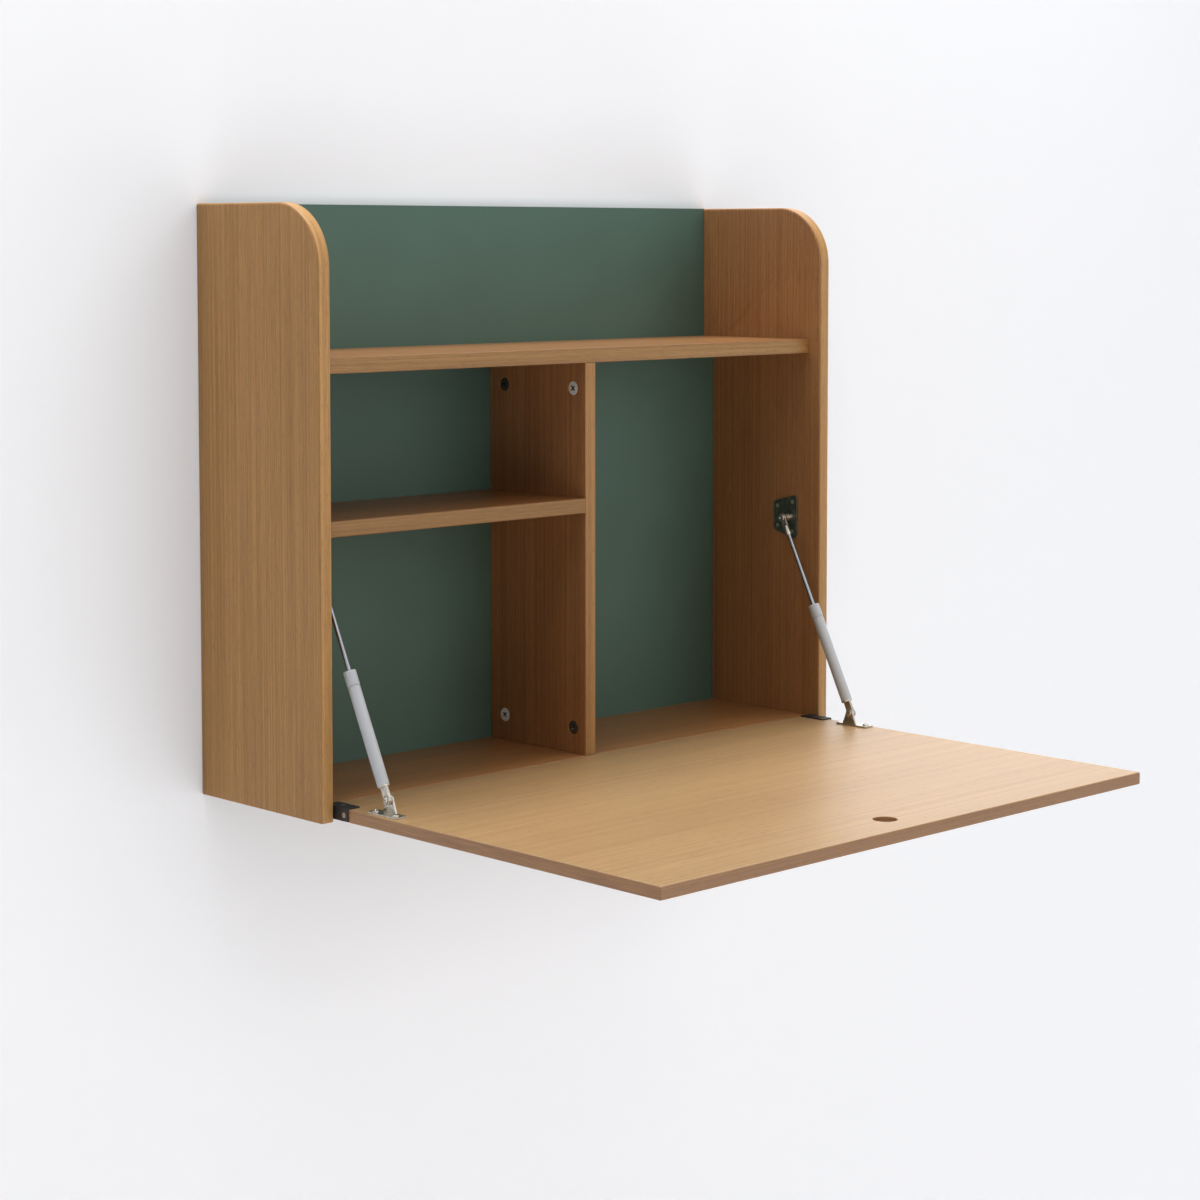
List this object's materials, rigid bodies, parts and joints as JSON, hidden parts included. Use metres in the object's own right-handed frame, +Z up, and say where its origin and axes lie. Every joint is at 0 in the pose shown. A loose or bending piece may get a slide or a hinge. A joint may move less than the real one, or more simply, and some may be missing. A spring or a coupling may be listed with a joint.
{
  "type": "fold down wall desk",
  "caption": "Shallow wall-hung writing cabinet with shelves, whose lower front folds down on gas struts to make a worktop.",
  "frame": {"origin": "on the wall plane, in the middle of the desk's width, at the height of the wall cleat's screw holes", "axes": "+X to the right along the wall as seen from the room, +Y into the wall, +Z up"},
  "size_m": [0.75, 0.651, 0.61],
  "materials": {
    "oak_veneer": "matte lacquered oak veneer",
    "green_lacquer": "dark green matte lacquer",
    "pine": "bare pine",
    "beech": "bare beech",
    "black_steel": "black powder coat",
    "dark_steel": "dark grey coated steel",
    "zinc": "bright zinc plate",
    "chrome_rod": "polished chrome",
    "grey_paint": "light grey satin paint",
    "nylon": "natural nylon"
  },
  "bodies": {
    "carcass": {"left_side_panel": "oak_veneer", "right_side_panel": "oak_veneer", "upper_shelf": "oak_veneer", "lower_shelf": "oak_veneer", "bottom_panel": "oak_veneer", "partition": "oak_veneer", "upper_back_panel": "green_lacquer", "lower_back_panel": "green_lacquer", "cabinet_cleat": "pine", "wall_cleat": "pine", "upper_back_dowels": "beech", "cleat_dowels": "beech", "partition_cams": "zinc", "partition_cam_bolts": "zinc", "partition_dowels": "beech", "upper_shelf_cams": "zinc", "upper_shelf_cam_bolts": "zinc", "upper_shelf_dowels": "beech", "lower_shelf_cams": "zinc", "lower_shelf_cam_bolts": "zinc", "lower_shelf_dowels": "beech", "bottom_panel_cams": "zinc", "bottom_panel_cam_bolts": "zinc", "bottom_panel_dowels": "beech", "left_hinge_bush": "nylon", "left_strut_plate": "dark_steel", "left_strut_plate_screws": "zinc", "right_hinge_bush": "nylon", "right_strut_plate": "dark_steel", "right_strut_plate_screws": "zinc"},
    "flap": {"flap_panel": "oak_veneer", "left_hinge_bracket": "black_steel", "left_hinge_pin": "zinc", "left_hinge_screws": "zinc", "left_strut_bracket": "zinc", "left_strut_bracket_screws": "zinc", "left_pivot_screw": "zinc", "right_hinge_bracket": "black_steel", "right_hinge_pin": "zinc", "right_hinge_screws": "zinc", "right_strut_bracket": "zinc", "right_strut_bracket_screws": "zinc", "right_pivot_screw": "zinc"},
    "left_strut_tube": {"left_strut_tube": "grey_paint", "left_strut_gland": "grey_paint", "left_strut_tongue": "zinc"},
    "left_strut_rod": {"left_strut_rod": "chrome_rod", "left_strut_piston": "nylon", "left_rod_eye": "zinc", "left_strut_stud": "zinc"},
    "right_strut_tube": {"right_strut_tube": "grey_paint", "right_strut_gland": "grey_paint", "right_strut_tongue": "zinc"},
    "right_strut_rod": {"right_strut_rod": "chrome_rod", "right_strut_piston": "nylon", "right_rod_eye": "zinc", "right_strut_stud": "zinc"}
  },
  "joints": [
    {"name": "flap_hinge", "type": "hinge", "parent": "carcass", "child": "flap", "pos_m": [0, -0.1925, -0.3505], "axis": [-1, 0, 0], "range_deg": [0, 90]},
    {"name": "left_strut_swing", "type": "hinge", "parent": "flap", "child": "left_strut_tube", "pos_m": [-0.344, -0.264, -0.3307], "axis": [1, 0, 0], "range_deg": [0, 110.79]},
    {"name": "left_strut_slide", "type": "slide", "parent": "left_strut_tube", "child": "left_strut_rod", "axis": [0, -0.4403, -0.8979], "range_m": [0, 0.07583]},
    {"name": "right_strut_swing", "type": "hinge", "parent": "flap", "child": "right_strut_tube", "pos_m": [0.344, -0.264, -0.3307], "axis": [1, 0, 0], "range_deg": [0, 110.79]},
    {"name": "right_strut_slide", "type": "slide", "parent": "right_strut_tube", "child": "right_strut_rod", "axis": [0, -0.4403, -0.8979], "range_m": [0, 0.07583]}
  ],
  "couplings": [
    {"joint": "left_strut_swing", "follows": "flap_hinge", "ratio": 1.2304},
    {"joint": "left_strut_slide", "follows": "flap_hinge", "m_per_rad": 0.048246},
    {"joint": "right_strut_swing", "follows": "flap_hinge", "ratio": 1.2304},
    {"joint": "right_strut_slide", "follows": "flap_hinge", "m_per_rad": 0.048246}
  ]
}
